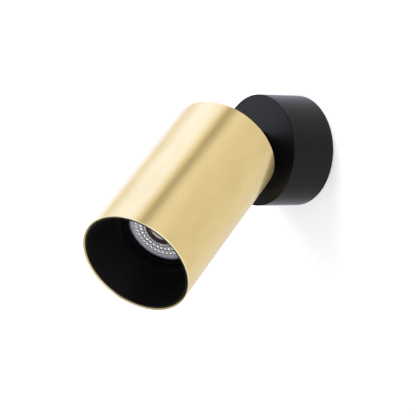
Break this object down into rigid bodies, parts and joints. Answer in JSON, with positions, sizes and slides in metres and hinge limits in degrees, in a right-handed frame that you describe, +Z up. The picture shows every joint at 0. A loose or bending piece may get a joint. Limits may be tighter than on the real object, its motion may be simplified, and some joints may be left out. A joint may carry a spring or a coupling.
{
  "type": "wall spotlight",
  "caption": "Wall spotlight: gold tubular head with a black cone baffle round a recessed reflector lamp, swivelling and tilting on a round black wall canopy.",
  "frame": {"origin": "centre of the back face, where the wall bracket meets the wall", "axes": "+Z up, +Y into the wall, +X to the right of someone facing the wall; the light leaves along -Y"},
  "size_m": [0.1098, 0.1958, 0.149],
  "materials": {
    "satin_gold": "satin brass-coloured anodised aluminium",
    "satin_black": "satin black powder coat",
    "matt_black": "matt black paint",
    "black_screw": "blackened steel",
    "zinc_steel": "zinc-plated steel",
    "spring_steel": "spring steel",
    "bare_aluminium": "bare aluminium, spot-welded",
    "tinned_copper": "tinned copper",
    "terminal_brass": "plain brass",
    "nylon": "black nylon",
    "black_rubber": "black rubber",
    "black_sheath": "black flexible cable sheath",
    "white_plastic": "natural terminal-block plastic",
    "brown_insulation": "brown core insulation",
    "blue_insulation": "blue core insulation",
    "green_insulation": "green core insulation with yellow stripe",
    "white_insulation": "heat-proof core insulation",
    "holder_ceramic": "glazed ceramic",
    "lamp_plastic": "lamp base plastic",
    "lamp_aluminium": "die-cast lamp housing",
    "clear_lens": "clear moulded lens",
    "white_board": "white circuit board",
    "led_phosphor": "phosphor of the light source"
  },
  "bodies": {
    "base": {"canopy": "satin_black", "wall_bracket": "zinc_steel", "canopy_screws": "black_screw", "entry_grommet": "black_rubber", "swivel_bush": "nylon", "stop_peg": "zinc_steel", "earth_lug": "tinned_copper", "earth_washer": "zinc_steel", "earth_screw": "zinc_steel", "terminal_block": "white_plastic", "terminal_sleeves": "terminal_brass", "terminal_screws": "zinc_steel", "block_screws": "zinc_steel", "live_lead": "brown_insulation", "neutral_lead": "blue_insulation", "earth_lead": "green_insulation"},
    "swivel": {"swivel_stem": "satin_black", "face_washer": "nylon", "inner_washer": "zinc_steel", "disc_spring": "spring_steel", "stop_washer": "zinc_steel", "swivel_nut": "zinc_steel", "stem_cable": "black_sheath"},
    "head": {"head_tube": "satin_gold", "rear_cap": "satin_black", "yoke": "satin_black", "yoke_screws": "zinc_steel", "tilt_washers": "nylon", "tilt_screws": "black_screw", "cable_gland": "black_rubber", "lamp_frame": "zinc_steel", "frame_screws": "zinc_steel", "lampholder": "holder_ceramic", "holder_screws": "zinc_steel", "holder_contacts": "terminal_brass", "head_cable": "black_sheath", "holder_leads": "white_insulation", "seat_lugs": "bare_aluminium"},
    "lamp": {"lamp_base": "lamp_plastic", "lamp_pins": "terminal_brass", "lamp_housing": "lamp_aluminium", "lamp_lens": "clear_lens", "led_board": "white_board", "led_chip": "led_phosphor"},
    "baffle": {"baffle": "matt_black", "baffle_springs": "spring_steel"}
  },
  "joints": [
    {"name": "base_swivel", "type": "hinge", "parent": "base", "child": "swivel", "pos_m": [0, 0, 0], "axis": [0, -1, 0], "range_deg": [-182, 138]},
    {"name": "head_tilt", "type": "hinge", "parent": "swivel", "child": "head", "pos_m": [0, -0.07, 0], "axis": [0.9272, 0, 0.3746], "range_deg": [-87.5, 8.5]},
    {"name": "baffle_pull", "type": "slide", "parent": "head", "child": "baffle", "axis": [0.2383, -0.7716, -0.5898], "range_m": [0, 0.045]},
    {"name": "lamp_twist", "type": "hinge", "parent": "head", "child": "lamp", "pos_m": [0, -0.07, 0], "axis": [0.2383, -0.7716, -0.5898], "range_deg": [0, 20]}
  ]
}
